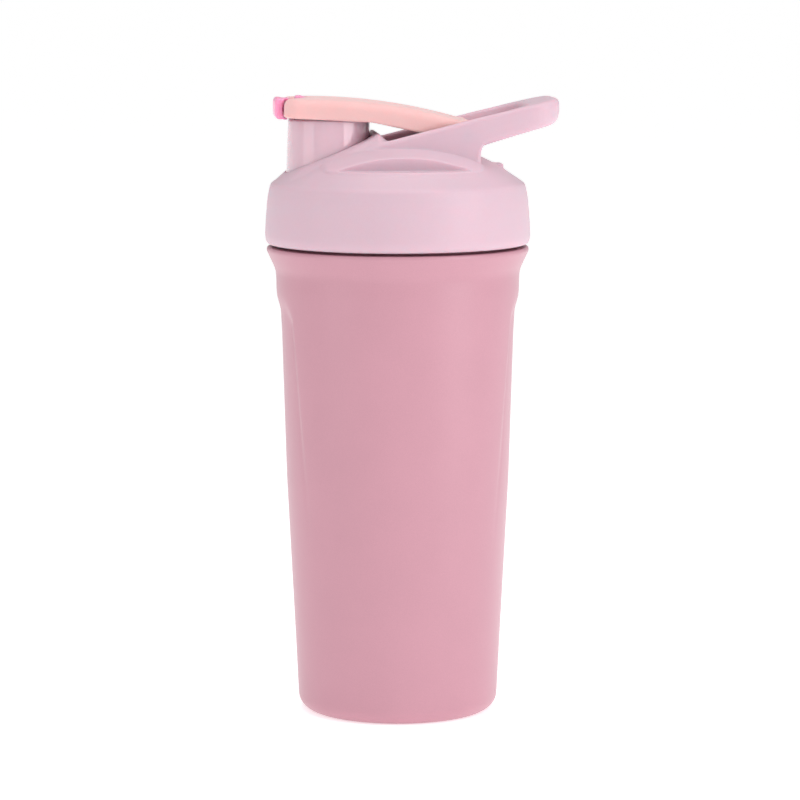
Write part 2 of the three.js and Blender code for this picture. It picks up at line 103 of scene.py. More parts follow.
def material(name, colour, roughness, grain=0.4, depth=0.01, tint=0.04, spread=0.05,
             stretch=(1, 1, 1), **sockets):
    """A Principled material with grain in its colour, roughness and bump.

    grain is the bump's feature size in mm and depth its height in mm. tint and spread are how far
    the colour and the roughness wander. Other sockets are set as they are given.
    """
    made = bpy.data.materials.new(name)
    made.use_nodes = True
    nodes, links = made.node_tree.nodes, made.node_tree.links
    shader = nodes["Principled BSDF"]
    for socket, value in sockets.items():
        shader.inputs[socket.replace("_", " ")].default_value = value

    place = nodes.new("ShaderNodeTexCoord")
    scale = nodes.new("ShaderNodeMapping")
    scale.inputs["Scale"].default_value = stretch
    links.new(place.outputs["Object"], scale.inputs["Vector"])

    def noise(size_mm, detail):
        node = nodes.new("ShaderNodeTexNoise")
        node.inputs["Scale"].default_value = 1 / (size_mm * MM)
        node.inputs["Detail"].default_value = detail
        links.new(scale.outputs["Vector"], node.inputs["Vector"])
        return node.outputs["Fac"]

    broad, fine = noise(22, 3), noise(grain, 2)
    mixed = nodes.new("ShaderNodeMath")
    mixed.operation = "MULTIPLY_ADD"
    mixed.inputs[1].default_value = 0.65
    links.new(fine, mixed.inputs[0])
    weight = nodes.new("ShaderNodeMath")
    weight.operation = "MULTIPLY"
    weight.inputs[1].default_value = 0.35
    links.new(broad, weight.inputs[0])
    links.new(weight.outputs[0], mixed.inputs[2])

    ramp = nodes.new("ShaderNodeValToRGB")
    base = linear(colour)
    for stop, at, change in zip(ramp.color_ramp.elements, (0.3, 0.7), (1 - tint, 1 + tint)):
        stop.position = at
        stop.color = [min(1, c * change) for c in base[:3]] + [1]
    links.new(mixed.outputs[0], ramp.inputs["Fac"])
    links.new(ramp.outputs["Color"], shader.inputs["Base Color"])

    rough = nodes.new("ShaderNodeMapRange")
    rough.inputs["From Min"].default_value = 0.3
    rough.inputs["From Max"].default_value = 0.7
    rough.inputs["To Min"].default_value = roughness - spread
    rough.inputs["To Max"].default_value = roughness + spread
    links.new(mixed.outputs[0], rough.inputs["Value"])
    links.new(rough.outputs["Result"], shader.inputs["Roughness"])

    bump = nodes.new("ShaderNodeBump")
    bump.inputs["Strength"].default_value = 0.6
    bump.inputs["Distance"].default_value = depth * MM
    links.new(fine, bump.inputs["Height"])
    links.new(bump.outputs["Normal"], shader.inputs["Normal"])
    return made


PLASTIC_GLOW = {"Subsurface_Weight": 0.5, "Subsurface_Radius": (1, 0.3, 0.35),
                "Subsurface_Scale": 0.004, "Specular_Tint": (1, 0.72, 0.78, 1)}
POWDER = material("powder_coat", 0xBF8A98, 0.34, grain=0.35, depth=0.02, tint=0.05)
LID = material("lid_satin", 0xCFB3BF, 0.42, grain=0.5, depth=0.008, tint=0.02, **PLASTIC_GLOW)
SPOUT = material("spout_gloss", 0xD6B4C0, 0.1, grain=3.0, depth=0.004, tint=0.015, spread=0.02,
                 Coat_Weight=1.0, Coat_Roughness=0.06, **PLASTIC_GLOW)
CAP = material("cap_soft_touch", 0xE6B7B5, 0.62, grain=0.3, depth=0.02, tint=0.03,
               Sheen_Weight=0.25, Sheen_Roughness=0.4, **PLASTIC_GLOW)
ACCENT = material("accent_plastic", 0xF69ABE, 0.3, grain=0.8, depth=0.006, tint=0.03,
                  **PLASTIC_GLOW)
STEEL = material("brushed_steel", 0xC4C4C6, 0.28, grain=0.5, depth=0.01, tint=0.06,
                 stretch=(1, 1, 14), spread=0.08, Metallic=1)
WIRE = material("polished_wire", 0xD0D0D2, 0.16, grain=0.6, depth=0.004, tint=0.04, Metallic=1)
SILICONE = material("seal_silicone", 0xEDE9E6, 0.5, grain=0.7, depth=0.01, tint=0.02,
                    **PLASTIC_GLOW)
PAD = material("pad_silicone", 0xC68E9A, 0.65, grain=0.3, depth=0.02, tint=0.05)
SOLDER = material("solder_glass", 0x86867F, 0.3, grain=0.4, depth=0.03, tint=0.1)


# ---- meshes -----------------------------------------------------------------------------------


def coat_with(piece, coat):
    piece.data.materials.clear()
    piece.data.materials.append(coat)


def finish_piece(piece, coat, body, replaced=(), smooth_angle=38):
    """Gives a piece its material and its body, and hides the CAD nodes it stands for."""
    coat_with(piece, coat)
    if piece.type == "MESH":
        piece.data.shade_smooth()
        piece.data.set_sharp_from_angle(angle=math.radians(smooth_angle))
    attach(piece, body)
    if replaced:
        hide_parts(*replaced)


def mesh_object(name, points_mm, faces):
    """A new object from points in millimetres."""
    mesh = bpy.data.meshes.new(name)
    mesh.from_pydata((np.asarray(points_mm) * MM).tolist(), [], faces)
    piece = bpy.data.objects.new(name, mesh)
    bpy.context.scene.collection.objects.link(piece)
    return piece


def merge_close(piece, distance_mm=0.002):
    """Joins points that coincide, and turns every face outwards."""
    work = bmesh.new()
    work.from_mesh(piece.data)
    bmesh.ops.remove_doubles(work, verts=work.verts, dist=distance_mm * MM)
    bmesh.ops.recalc_face_normals(work, faces=work.faces)
    work.to_mesh(piece.data)
    work.free()
    return piece


def soften(points, steps=6):
    """An outline of (x, y) or (x, y, radius) points with its corners rounded."""
    out = []
    for i, (x, y, *rest) in enumerate(points):
        here = np.array([x, y], float)
        if not rest:
            out.append(here)
            continue
        ends = []
        for other in (points[i - 1], points[(i + 1) % len(points)]):
            step = np.array(other[:2], float) - here
            length = np.linalg.norm(step)
            ends.append(here + step / length * min(rest[0], length / 2))
        for t in np.linspace(0, 1, steps + 1):
            out.append((1 - t) ** 2 * ends[0] + 2 * t * (1 - t) * here + t ** 2 * ends[1])
    return np.array(out)


def arc(cx, cy, radius, start, end, steps):
    """Points on an arc, from one angle in degrees to another."""
    turn = np.radians(np.linspace(start, end, steps + 1))
    return np.stack([cx + radius * np.cos(turn), cy + radius * np.sin(turn)], 1)


def finer(points, longest):
    """The same line with no step longer than this."""
    out = [points[0]]
    for a, b in zip(points[:-1], points[1:]):
        count = max(1, math.ceil(np.linalg.norm(np.subtract(b, a)) / longest))
        out += [a + (np.subtract(b, a)) * (i + 1) / count for i in range(count)]
    return np.array(out)


def turned(name, profile, sides=192, centre=0.0, shift=None):
    """A profile of (radius, z) turned about Z. shift(radius, turn, z) gives each point's radius."""
    profile = np.asarray(profile, float)
    closed = profile[0][0] > 0 or profile[-1][0] > 0
    turn = np.linspace(0, 2 * math.pi, sides, endpoint=False)
    turn = np.repeat(turn[None], len(profile), 0)
    radius, z = np.repeat(profile[:, :1], sides, 1), np.repeat(profile[:, 1:], sides, 1)
    if shift:
        radius = shift(radius, turn, z)
    points = np.stack([centre + radius * np.cos(turn), radius * np.sin(turn), z], 2)
    rows = len(profile)
    faces = []
    for i in range(rows if closed else rows - 1):
        a, b = i * sides, (i + 1) % rows * sides
        faces += [(a + j, a + (j + 1) % sides, b + (j + 1) % sides, b + j) for j in range(sides)]
    return merge_close(mesh_object(name, points.reshape(-1, 3), faces))


def cut(piece, cutter):
    """Takes the cutter's shape out of the piece, and drops the cutter."""
    change = piece.modifiers.new("cut", "BOOLEAN")
    change.operation = "DIFFERENCE"
    change.solver = "EXACT"
    change.object = cutter
    graph = bpy.context.evaluated_depsgraph_get()
    result = bpy.data.meshes.new_from_object(piece.evaluated_get(graph))
    piece.modifiers.clear()
    piece.data = result
    bpy.data.objects.remove(cutter)
    return piece


def wire(name, points_mm, radius_mm):
    """A round wire through these points."""
    line = bpy.data.curves.new(name, "CURVE")
    line.dimensions = "3D"
    line.bevel_depth = radius_mm * MM
    line.bevel_resolution = 4
    line.use_fill_caps = True
    path = line.splines.new("POLY")
    path.points.add(len(points_mm) - 1)
    for point, place in zip(path.points, points_mm):
        point.co = (*(np.array(place) * MM), 1)
    piece = bpy.data.objects.new(name, line)
    bpy.context.scene.collection.objects.link(piece)
    return piece


# ---- solids worked out as distances over a grid -----------------------------------------------


def blend(a, b, radius):
    """Both shapes together, with a fillet where they meet."""
    near = np.maximum(radius - np.abs(a - b), 0) / radius
    return np.minimum(a, b) - near * near * radius / 4


def both(a, b, radius):
    """Only what is inside both, with the edge rounded."""
    return -blend(-a, -b, radius)


def carve(a, b, radius):
    """The first shape without the second, with the edge rounded."""
    return both(a, -b, radius)


class Space:
    """A box of grid points in mm. Its shapes are distances: negative inside, positive outside."""

    def __init__(self, low, high, step):
        self.low, self.step = np.array(low, float), step
        self.axes = [np.arange(a, b + step, step) for a, b in zip(low, high)]
        self.x = self.axes[0][:, None, None]
        self.y = self.axes[1][None, :, None]
        self.z = self.axes[2][None, None, :]

    @staticmethod
    def outline(points, a, b):
        """Distance from a closed outline over the grid a by b."""
        across, up = np.meshgrid(a, b, indexing="ij")
        best = np.full(across.shape, np.inf)
        inside = np.zeros(across.shape, bool)
        for (x0, y0), (x1, y1) in zip(points, np.roll(points, -1, axis=0)):
            dx, dy = x1 - x0, y1 - y0
            if dx == dy == 0:
                continue
            t = np.clip(((across - x0) * dx + (up - y0) * dy) / (dx * dx + dy * dy), 0, 1)
            best = np.minimum(best, (across - x0 - t * dx) ** 2 + (up - y0 - t * dy) ** 2)
            if dy:
                crosses = ((y0 <= up) & (up < y1)) | ((y1 <= up) & (up < y0))
                inside ^= crosses & (across < x0 + (up - y0) * dx / dy)
        return np.where(inside, -1, 1) * np.sqrt(best)

    def side(self, points):
        """An outline in X and Z, endless along Y."""
        return self.outline(points, self.axes[0], self.axes[2])[:, None, :]

    def plan(self, points):
        """An outline in X and Y, endless along Z."""
        return self.outline(points, self.axes[0], self.axes[1])[:, :, None]

    def slab(self, flat, half, edge=0.0):
        """A flat shape made |Y| <= half thick, with its edges rounded."""
        across = np.abs(self.y) - half + edge
        flat = flat + edge
        outside = np.hypot(np.maximum(flat, 0), np.maximum(across, 0))
        return outside + np.minimum(np.maximum(flat, across), 0) - edge

    def box(self, low, high, edge=0.0):
        """A box with rounded edges."""
        centre, half = (np.add(low, high)) / 2, (np.subtract(high, low)) / 2 - edge
        parts = [np.abs(a - c) - h for a, c, h in zip((self.x, self.y, self.z), centre, half)]
        outside = np.sqrt(sum(np.maximum(p, 0) ** 2 for p in parts))
        inside = np.minimum(np.maximum(np.maximum(parts[0], parts[1]), parts[2]), 0)
        return outside + inside - edge

    def round(self, points):
        """An outline of (radius, z) turned about Z."""
        reach = np.hypot(self.x[:, :, 0], self.y[:, :, 0])
        step = 0.25
        radii = np.arange(0, reach.max() + 2 * step, step)
        mirror = np.array(points)[::-1] * [-1, 1]
        table = self.outline(np.concatenate([points, mirror]), radii, self.axes[2])
        place = reach / step
        first = place.astype(int)
        share = (place - first)[:, :, None]
        return table[first] * (1 - share) + table[first + 1] * share

    def bar(self, x, z, radius, half, edge=0.0):
        """A round bar along Y."""
        return self.slab(np.hypot(self.x - x, self.z - z) - radius, half, edge)

    @staticmethod
    def surface_points(shape, cells):
        """One point in each cell: the middle of where the surface crosses the cell's edges."""
        total, hits = np.zeros((len(cells), 3)), np.zeros(len(cells))
        for axis in range(3):
            for corner in product((0, 1), repeat=3):
                if corner[axis]:
                    continue
                start = cells + corner
                end = start.copy()
                end[:, axis] += 1
                a, b = shape[tuple(start.T)], shape[tuple(end.T)]
                crossed = (a < 0) != (b < 0)
                point = start[crossed].astype(float)
                point[:, axis] += a[crossed] / (a[crossed] - b[crossed])
                total[crossed] += point
                hits[crossed] += 1
        return total / hits[:, None]

    @staticmethod
    def surface_quads(inside, number):
        """A quad for each grid edge that the surface crosses, joining the four cells round it."""
        faces = []
        for axis in range(3):
            u, v = (axis + 1) % 3, (axis + 2) % 3
            near, far = [slice(None)] * 3, [slice(None)] * 3
            near[axis], far[axis] = slice(0, -1), slice(1, None)
            change = inside[tuple(near)] != inside[tuple(far)]
            at = np.argwhere(change)
            at = at[(at[:, u] > 0) & (at[:, v] > 0)]
            one, other = np.eye(3, dtype=int)[u], np.eye(3, dtype=int)[v]
            ring = [number[tuple((at - a).T)] for a in (one + other, other, 0 * one, one)]
            quads = np.stack(ring, 1)
            outward = inside[tuple(at.T)]
            quads[~outward] = quads[~outward][:, ::-1]
            faces.append(quads)
        return np.concatenate(faces)

    def mesh(self, name, shape):
        """The closed surface of a shape, as quads, evened out by two smoothing passes."""
        shape = np.broadcast_to(shape, [len(a) for a in self.axes])
        inside = shape < 0
        count = sum(
            inside[tuple(slice(o, o + n - 1) for o, n in zip(corner, inside.shape))].astype(int)
            for corner in product((0, 1), repeat=3)
        )
        active = (count > 0) & (count < 8)
        cells = np.argwhere(active)
        number = np.full(active.shape, -1)
        number[active] = np.arange(len(cells))
        points = self.low + self.step * self.surface_points(shape, cells)
        piece = mesh_object(name, points, self.surface_quads(inside, number).tolist())
        even = piece.modifiers.new("even", "SMOOTH")
        even.factor, even.iterations = 0.5, 2
        return piece


# ---- bottle -----------------------------------------------------------------------------------

FOOT_R, FOOT_CORNER = 37.5, 6.0
BODY_TOP_R, BODY_TOP_Z = 45.4, 160.0
PANEL_TOP, PANEL_CORNER = 154.4, 9.0


def body_radius(z):
    """The steel body's outside radius at a height between its foot and its top."""
    along = (z - FOOT_CORNER) / (BODY_TOP_Z - FOOT_CORNER)
    return FOOT_R + (BODY_TOP_R - FOOT_R) * along


def smooth_step(value):
    """Eases from 0 to 1 as the value does."""
    value = np.clip(value, 0, 1)
    return value * value * (3 - 2 * value)


def grip_depth(turn, z):
    """How far the two grip panels, facing +X and -X, sink the steel.

    Each is deepest near its top, fades out downwards and widens as it does, inside a fine groove.
    """
    angle = np.abs(np.arctan2(np.sin(turn), np.abs(np.cos(turn))))
    widening = np.clip((146 - z) / (146 - 64), 0, 1)
    side = (angle - np.radians(24 + 9 * widening)) * body_radius(z)
    above = z - PANEL_TOP
    corner = np.hypot(np.maximum(side + PANEL_CORNER, 0), np.maximum(above + PANEL_CORNER, 0))
    edge = np.maximum(np.minimum(corner - PANEL_CORNER, 8), np.maximum(side, above))
    ramp = 1 + 2.6 * smooth_step((above / 3.6 + 2.5) / 2)
    inside = smooth_step(0.5 - edge / (2 * ramp))
    depth = 1.18 * np.clip((z - 88) / (143 - 88), 0, 1)
    groove = 0.2 * np.exp(-((edge / 1.1) ** 2)) * np.clip((z - 62) / 40, 0, 1)
    return depth * inside + groove * (z < 150)


def thread_height(turn, z, start, height):
    """How far a right-handed thread stands out of its wall."""
    out = 0.0
    whole = 2 * math.pi * THREAD_TURNS
    for lap in (0, 1):
        along = turn + 2 * math.pi * lap
        centre = start + PITCH * along / (2 * math.pi)
        rise = np.clip((1.2 - np.abs(z - centre)) / 0.6, 0, 1)
        ends = np.clip(np.minimum(along, whole - along) / 0.8, 0, 1)
        out = np.maximum(out, height * smooth_step(rise) * ends)
    return out


def shape_shell(radius, turn, z):
    """The shell's radius with its grip panels sunk and its thread raised."""
    outer = radius > NECK_R - 0.1
    panel = grip_depth(turn, z) * ((z > 60) & (z < 160))
    ridge = thread_height(turn, z, THREAD_Z, 1.3) * (outer & (z > 176.4))
    return radius - panel + ridge


def outer_shell():
    """The powder-coated steel body: foot, tapered side, flared rim and threaded neck."""
    wall = 0.6
    collar = BODY_TOP_R + 0.05
    side = finer(np.array([(FOOT_R, FOOT_CORNER), (BODY_TOP_R, BODY_TOP_Z), (collar, 163)]), 1.6)
    flare = soften([
        (collar, 163), (collar + 0.2, 166.6, 1.8), (RIM_R, 174.1, 0.8),
        (RIM_R - 0.4, 175.3, 0.9), (NECK_R, 175.3, 0.8), (NECK_R, 177),
    ])[1:-1]
    neck = finer(np.array([(NECK_R, 177), (NECK_R, NECK_TOP)]), 0.45)
    inner_flare = [
        (NECK_R - wall, NECK_TOP), (NECK_R - wall, 174.7), (RIM_R - 1.6, 174.7),
        (collar - wall + 0.1, 166.9), (BODY_TOP_R - wall, BODY_TOP_Z),
    ]
    inner = finer(np.array([inner_flare[-1], (FOOT_R - wall, FOOT_CORNER)]), 4)[1:]
    foot = [(27.5, wall), (27.5, 0.0), (27.8, 0)]
    turn_r = FOOT_R - FOOT_CORNER
    corner = arc(turn_r, FOOT_CORNER, FOOT_CORNER, -90, 0, 10)[:-1]
    inner_corner = arc(turn_r, FOOT_CORNER, FOOT_CORNER - wall, 0, -90, 8)[1:]
    profile = np.concatenate([foot[1:], corner, side, flare, neck, inner_flare, inner,
                              inner_corner, foot[:1]])
    made = turned("body_shell", profile, 288, shift=shape_shell)
    finish_piece(made, POWDER, "bottle", ["outer_shell"])


def inner_liner():
    """The steel cup inside, rolled over at its mouth."""
    wall, radius = 0.5, 42.0
    foot = body_radius(13.2) - 3.2
    outside = np.concatenate([
        [(0, 5.2)], arc(foot - 8, 13.2, 8, -90, 0, 8), [(radius, 160), (radius, 167)],
        [(radius, NECK_TOP + GAP)], soften([(42.9, NECK_TOP + GAP), (43, LINER_TOP - 0.4, 0.4),
                                            (42.7, LINER_TOP, 0.4), (41.8, LINER_TOP)]),
    ])
    inside = np.concatenate([
        soften([(41.8, LINER_TOP), (radius - wall, LINER_TOP - 0.5, 0.4), (radius - wall, 167)]),
        [(radius - wall, 160)], arc(foot - 8, 13.2, 8 - wall, 0, -90, 8), [(0, 5.7)],
    ])
    made = turned("steel_liner", np.concatenate([outside, inside[1:]]), 160)
    finish_piece(made, STEEL, "bottle", ["inner_liner"])


def base_pad():
    pad = soften([(0, 0), (26.4, 0), (27.2, 0.7, 0.5), (27.2, 1.7), (0, 1.7)])
    ring = [(18, 0.0), (18.4, 0.25), (19, 0.25), (19.4, 0)]
    profile = np.concatenate([[(0, 0)], ring, pad[1:]])
    finish_piece(turned("foot_pad", profile, 128), PAD, "bottle", ["base_pad"])


def whisk():
    """The loose mixing ball: one wire wound from pole to pole."""
    radius, turns = 24, 5.5
    points = []
    for t in np.linspace(0, 1, 400):
        pole, turn = math.pi * (0.1 + 0.8 * t), 2 * math.pi * turns * t
        across = radius * math.sin(pole)
        points.append((across * math.cos(turn), across * math.sin(turn),
                       WHISK_Z - radius * math.cos(pole)))
    finish_piece(wire("whisk_wire", points, 1.0), WIRE, "whisk", ["whisk_ball"])


# ---- lid --------------------------------------------------------------------------------------


def lid_shell(step=0.38):
    """The lid's outer moulding: skirt, dome, carry loop, spout wedge and side recesses."""
    space = Space((-51, -51, SKIRT_Z - 2), (LOOP_END + 2, 51, 234), step)
    outside = soften([
        (0, SKIRT_Z), (SKIRT_R - 0.7, SKIRT_Z, 1.3), (SKIRT_R, 179, 1.5),
        (SKIRT_R - 0.3, 185.3, 3), (SKIRT_R - 1, 193.5, 3), (SKIRT_R - 1.6, 196.5, 1.5),
        (SKIRT_R - 2.1, 198.7, 1), (38.3, 205, 2.5), (29.5, 209.5, 4), (20, 212.4, 4),
        (10, 214, 4), (0, 214.5),
    ])
    inside = soften([
        (0, SKIRT_Z - 3), (46.75, SKIRT_Z - 3), (46.75, 196.6, 1), (44.6, 198.9, 1),
        (37.1, 203, 3), (28.4, 207.5, 3), (19.4, 210.4), (9.4, 212), (0, 212.5),
    ])
    dome = space.round(outside)

    # The raised band over each side recess: the dome stood off a little, with rounded ends.
    band = both(dome - 0.7, RECESS_Z - 0.4 - space.z, 0.8)
    band = both(band, np.abs(space.x) - 30.5, 3)
    band = both(band, RAIL_Y - 3 - np.abs(space.y), 1)

    # The rails bulge a little along the middle of their sides.
    belly = np.abs(space.z - 219.3 - 0.24 * (space.x - 29))
    rails = space.slab(space.side(soften([
        (-36, 196), (-29.5, 205.2), (-6.7, 215.1), (29, 224.1), (60.8, 231.6, 4.8),
        (60.0, 221.8, 4.4), (46.3, 218.4, 5), (28.9, 213.1, 3), (-3, 204), (-10, 196),
    ])), RAIL_Y - 0.1 * belly, 1.8)
    web = space.slab(space.side(soften([
        (-36, 196), (-20, 205), (0, 214), (36, 219), (29.4, 213, 3), (29.2, 208, 2), (29.2, 196),
    ])), RAIL_Y - 0.35, 0.6)
    rails = blend(rails, web, 0.5)
    loop_plan = space.plan(soften([
        (-60, -RAIL_Y), (LOOP_END + 1, -RAIL_Y, 18), (LOOP_END + 1, RAIL_Y, 18), (-60, RAIL_Y),
    ], 12))
    opening = space.plan(soften([
        (-5.5, -RAIL_INNER, 2), (47, -RAIL_INNER, 10), (47, RAIL_INNER, 10),
        (-5.5, RAIL_INNER, 2),
    ], 12))
    rails = carve(both(rails, loop_plan, 3.5), opening, 2)

    wedge = space.slab(space.side(soften([
        (-50, 194), (-46.5, 201.1), (-11.5, 216.1, 2), (-8, 218.4, 1.6), (-4.8, 213, 1.6),
        (-4.4, 194),
    ])), RAIL_INNER + 1.0, 2.6)
    wedge = both(wedge, np.hypot(space.x, space.y) - 44, 6)
    boss = space.box((35, -4, 203), (39.3, 4, 206.1), 0.7)

    shell = blend(dome, band, 0.6)
    shell = blend(shell, rails, 0.3)
    shell = blend(shell, wedge, 2.5)
    shell = blend(shell, boss, 0.5)
    shell = carve(shell, space.round(inside), 0.4)
    for side in (-1, 1):
        y = side * RECESS_Y
        pan = space.box((-27, min(y, y + side * 8) - 1.8, RECESS_Z - 1.8),
                        (27, max(y, y + side * 8) + 1.8, 210))
        shell = blend(shell, both(pan, dome, 0.3), 0.4)
        out = y + side * 30
        shell = carve(shell, space.box((-60, min(y, out), RECESS_Z), (60, max(y, out), 216)), 0.25)
        inner_arc = np.hypot(space.x / 18, (space.z - RECESS_Z) / 2.6) - 1
        shallow = np.maximum(inner_arc * 2.6, np.abs(space.y - y) - 0.1)
        shell = carve(shell, shallow, 0.1)
    spout = np.hypot(space.x - SPOUT_X, space.y) - 16.15
    shell = carve(shell, both(spout, 196 - space.z, 0.5), 0.3)
    shell = carve(shell, space.bar(HINGE_X, HINGE_Z, 1.5, 20.6), 0.3)
    finish_piece(space.mesh("lid_moulding", shell), LID, "lid", ["lid_shell"], smooth_angle=60)


def lid_core():
    """The lid's inner moulding: a threaded cup, the spout's tube and the button's catch."""

    def shape(radius, turn, z):
        inner = (radius > 43) & (radius < 45.2) & (z < 194.5)
        return radius - thread_height(turn, z, THREAD_Z - PITCH / 2, 1.4) * inner

    wall = finer(np.array([(44.9, 195.4), (44.9, 177.6)]), 0.45)
    profile = np.concatenate([
        [(0, 196.8), (40.2, 196.8), (40.2, 195.7), (40.6, 195.7), (40.6, 196.7), (44.9, 196.7)],
        wall, soften([(46.4, 177.6, 0.4), (46.4, 196.4, 0.8), (44.2, 198.4, 0.8)]), [(0, 198.4)],
    ])
    cup = turned("lid_thread_cup", profile, 192, shift=shape)
    bore = turned("bore", [(0, 190), (13.3, 190), (13.3, 205), (0, 205)], 96, SPOUT_X)
    finish_piece(cut(cup, bore), SPOUT, "lid", ["lid_core"])

    tube = soften([
        (13.3, 198.2), (15.95, 198.2), (15.9, 203), (15.3, 221), (15.3, SPOUT_Z, 0.9),
        (13.5, SPOUT_Z, 0.8), (13.3, 221),
    ])
    finish_piece(turned("spout_tube", tube, 160, SPOUT_X), SPOUT, "lid")
    front = SPOUT_X - 15.3
    space = Space((front - 2, -4, 220), (front + 3, 4, 226), 0.16)
    tab = space.slab(space.side(soften([
        (front + 1.5, 221), (front + 1.5, 224.9, 0.4), (front - 0.7, 224.9, 0.4),
        (front - 0.7, 224.2, 0.3), (front + 0.15, 223.8), (front + 0.15, 221),
    ])), 3, 0.3)
    finish_piece(space.mesh("catch_tab", tab), SPOUT, "lid",
                 smooth_angle=60)


def ring_seal():
    profile = soften([(40.9, 195.1, 0.4), (44.3, 195.1, 0.4), (44.3, 196.4, 0.3),
                      (40.9, 196.4, 0.3)])
    finish_piece(turned("mouth_seal", profile, 160), SILICONE, "lid_seat", ["lid_gasket"])


def pins():
    for name, node, body in (
        ("hinge_axle", "hinge_pin", "lid"),
        ("button_axle", "button_pin", "cap"),
    ):
        low, high = low_high(node)
        x, _, z = middle_of(node)
        radius, half, _ = (high - low) / 2
        profile = soften([(0, -half), (radius, -half, 0.25), (radius, half, 0.25), (0, half)])
        pin = turned(name, profile, 48)
        for vertex in pin.data.vertices:
            across, back, along = vertex.co
            vertex.co = (across + x * MM, along, z * MM - back)
        finish_piece(pin, WIRE, body, [node])


def coil(name, node, body, x, z, radius, half, turns, legs, thickness):
    """A torsion spring round a pin, with a straight leg at each end."""
    points = []
    for t in np.linspace(0, 1, 260):
        along = min(max((t - 0.1) / 0.8, 0), 1)
        leg = max(0.1 - t, t - 0.9, 0) / 0.1
        reach = legs[0] if t < 0.5 else legs[1]
        turn = 2 * math.pi * turns * along - math.pi / 2
        points.append((x + radius * math.cos(turn) - reach * leg, -half + 2 * half * along,
                       z + radius * math.sin(turn) - 0.12 * reach * leg))
    finish_piece(wire(name, points, thickness), WIRE, body, [node])


# ---- flip cap ---------------------------------------------------------------------------------

CAP_ARC = 205.0  # radius of the cap's top line in the side view
CAP_PEAK = (-34.0, 231.2)
CAP_HALF = 17.0
CAP_NOSE = -42.8
CAP_CORNER = 5.5


def cap_top(x):
    """The height of the cap's top along its middle."""
    return CAP_PEAK[1] - CAP_ARC + np.sqrt(CAP_ARC ** 2 - (x - CAP_PEAK[0]) ** 2)


def cap_under(x):
    """The height of the cap's lower edge: level over the spout, then falling to the hinge."""
    bend = -10.5
    return 222.05 - np.where(x < bend, 0.052, 0.22) * (x - bend)


def cap_fields(space, inset):
    """The cap's outside, moved inwards by inset: its top, its underside and its plan."""
    crown = 0.9 * (space.y / CAP_HALF) ** 2
    dish = np.maximum(1 - np.hypot((space.x + 39) / 6.5, space.y / 11) ** 2, 0)
    top = space.z - (cap_top(space.x) - crown - 0.6 * dish) + inset
    under = cap_under(space.x) - space.z
    ahead = CAP_NOSE + CAP_CORNER - space.x
    aside = np.abs(space.y) - CAP_HALF + CAP_CORNER
    plan = np.hypot(np.maximum(ahead, 0), np.maximum(aside, 0)) + np.minimum(
        np.maximum(ahead, aside), 0) - CAP_CORNER + inset
    return top, under, plan


def flip_cap(step=0.3):
    """The cap's outer skin: a hollow tray with room for the hinge, the button and the lock."""
    space = Space((-45, -18.5, 209), (32, 18.5, 234), step)
    top, under, plan = cap_fields(space, 0)
    outer = both(both(top, plan, 3.2), under, 0.8)
    outer = both(outer, space.x - HINGE_X, 0.3)
    tail = both(space.bar(HINGE_X, HINGE_Z, 5.4, CAP_HALF, 1.2), HINGE_X - 1 - space.x, 0.3)
    outer = blend(outer, tail, 0.8)
    top, under, plan = cap_fields(space, 1.5)
    hollow = both(both(top, plan, 1.5), space.x - HINGE_X + 0.5, 0.3)
    shell = carve(outer, hollow, 0.4)
    half = CAP_HALF - 1.5
    shell = carve(shell, space.bar(HINGE_X, HINGE_Z, 3.5, half), 0.3)
    shell = carve(shell, space.box((HINGE_X - 1, -half, 204), (HINGE_X + 3.5, half, HINGE_Z)), 0.3)
    shell = carve(shell, space.box((HINGE_X, -4, 204), (HINGE_X + 8, 4, HINGE_Z + 0.5)), 0.3)
    shell = carve(shell, space.bar(HINGE_X, HINGE_Z, 1.5, 20), 0.2)
    lugs = space.box((-41.5, -11.8, 225.4), (-39.8, 11.8, 228.6), 0.3)
    shell = blend(shell, lugs, 0.4)
    wide = (button_high[1] - button_low[1]) / 2 + GAP
    shell = carve(shell, space.box((-50, -wide, 215), (-38.9, wide, 229.1), 0.3), 0.3)
    shell = carve(shell, space.box((-50, -wide, 226), (ROCKER_X + 0.1, wide, 236), 0.3), 0.4)
    shell = carve(shell, space.box((-50, -4.2, 226), (-39.2, 4.2, 236), 0.3), 0.4)
    shell = carve(shell, space.box((-40, -3.9, 229.54), (-34.1, 3.9, 236), 0.3), 0.3)
    shell = carve(shell, space.box((-40.4, -1.5, 226), (-35.1, 1.5, 232)), 0.2)
    shell = carve(shell, space.bar(ROCKER_X, ROCKER_Z, 0.95, ROCKER_HALF + GAP), 0.2)
    finish_piece(space.mesh("cap_skin", shell), CAP, "cap", ["flip_cap"], smooth_angle=60)


